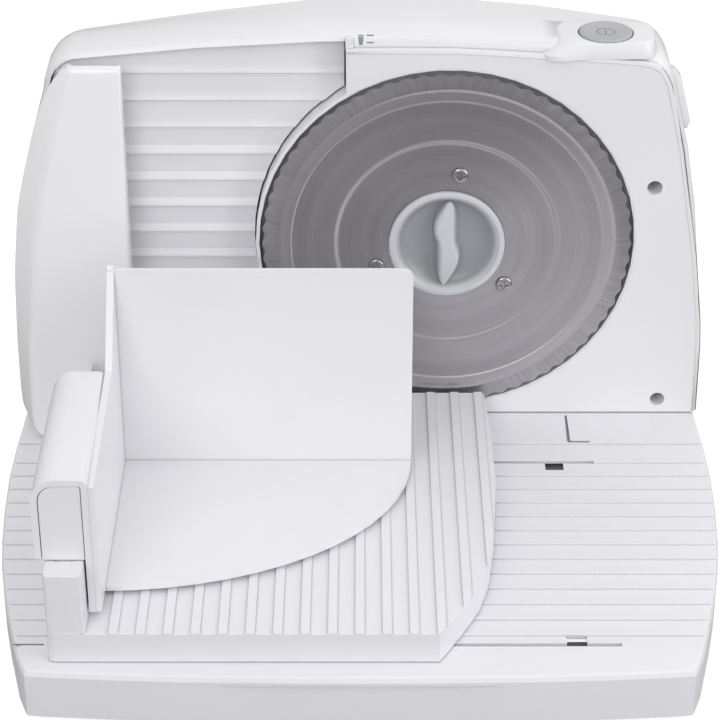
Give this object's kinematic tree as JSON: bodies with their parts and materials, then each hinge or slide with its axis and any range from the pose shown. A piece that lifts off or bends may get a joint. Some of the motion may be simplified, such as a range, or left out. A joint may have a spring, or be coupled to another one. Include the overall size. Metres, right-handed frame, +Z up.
{
  "type": "electric food slicer",
  "caption": "Electric food slicer: round wavy blade in an upright housing, sliding carriage with guard and pusher, and a plate that sets the slice's thickness.",
  "frame": {"origin": "centre of the object's box, at table height", "axes": "+X along the carriage's travel, to the right as seen by the user; +Y from the user to the blade; +Z up"},
  "size_m": [0.362, 0.322, 0.2463],
  "materials": {
    "white_plastic": "satin white ABS",
    "grey_plastic": "satin pale grey ABS",
    "milky_plastic": "milky, part-clear plastic",
    "steel": "turned and brushed stainless steel",
    "dark_plastic": "dull black nylon",
    "rubber": "dull black rubber",
    "brass": "plain bronze or brass",
    "copper": null
  },
  "bodies": {
    "body": {"base_tray": "white_plastic", "foot_1": "rubber", "foot_2": "rubber", "foot_3": "rubber", "foot_4": "rubber", "bottom_cover": "grey_plastic", "bottom_cover_screw_1": "steel", "bottom_cover_screw_2": "steel", "bottom_cover_screw_3": "steel", "bottom_cover_screw_4": "steel", "housing_shell": "white_plastic", "front_cover": "white_plastic", "front_cover_screw_1": "steel", "front_cover_screw_2": "steel", "cord_gland": "dark_plastic", "gearbox_frame": "grey_plastic", "blade_axle": "steel", "worm_bearing_1": "brass", "worm_bearing_2": "brass", "motor_end_bearing": "brass", "motor_stator": "steel", "switch_block": "dark_plastic", "safety_switch": "dark_plastic", "guide_rod_1": "steel", "guide_rod_2": "steel"},
    "guide": {"guide_plate": "white_plastic", "guide_carrier": "grey_plastic", "guide_nut": "brass"},
    "dial": {"thickness_dial": "white_plastic", "dial_screw": "steel"},
    "blade": {"blade": "steel", "blade_hub": "grey_plastic", "blade_screw_1": "steel", "blade_screw_2": "steel", "blade_screw_3": "steel", "blade_gear": "dark_plastic"},
    "lock": {"blade_lock_knob": "grey_plastic"},
    "armature": {"motor_armature": "copper", "drive_worm": "steel", "motor_fan": "dark_plastic"},
    "power_button": {"power_button": "white_plastic"},
    "safety_button": {"safety_button": "white_plastic"},
    "carriage": {"carriage_tray": "white_plastic", "hand_guard": "milky_plastic", "guard_clip_1": "grey_plastic", "guard_clip_2": "grey_plastic"},
    "pusher": {"food_pusher": "white_plastic", "grip_insert": "grey_plastic"}
  },
  "joints": [
    {"name": "blade_spin", "type": "hinge", "parent": "body", "child": "blade", "pos_m": [0.0446, 0.066, 0.1326], "axis": [0, 1, 0], "continuous": true},
    {"name": "blade_lock_turn", "type": "hinge", "parent": "blade", "child": "lock", "pos_m": [0.0446, 0.066, 0.1326], "axis": [0, -1, 0], "range_deg": [0, 90]},
    {"name": "motor_spin", "type": "hinge", "parent": "body", "child": "armature", "pos_m": [0.0446, 0.112, 0.0855], "axis": [1, 0, 0], "continuous": true},
    {"name": "guide_slide", "type": "slide", "parent": "body", "child": "guide", "axis": [0, 1, 0], "range_m": [-0.008, 0.007]},
    {"name": "dial_turn", "type": "hinge", "parent": "body", "child": "dial", "pos_m": [-0.105, 0.128, 0.136], "axis": [0, 1, 0], "range_deg": [-126, 144]},
    {"name": "power_press", "type": "slide", "parent": "body", "child": "power_button", "axis": [0, 0, -1], "range_m": [0, 0.003], "stiffness_N_per_m": 500},
    {"name": "safety_press", "type": "slide", "parent": "body", "child": "safety_button", "axis": [-1, 0, 0], "range_m": [0, 0.003], "stiffness_N_per_m": 500},
    {"name": "carriage_slide", "type": "slide", "parent": "body", "child": "carriage", "axis": [1, 0, 0], "range_m": [0, 0.115]},
    {"name": "pusher_slide", "type": "slide", "parent": "carriage", "child": "pusher", "axis": [0, 1, 0], "range_m": [0, 0.04]}
  ],
  "couplings": [
    {"joint": "motor_spin", "follows": "blade_spin", "ratio": 40},
    {"joint": "dial_turn", "follows": "guide_slide", "rad_per_m": -314.16}
  ]
}
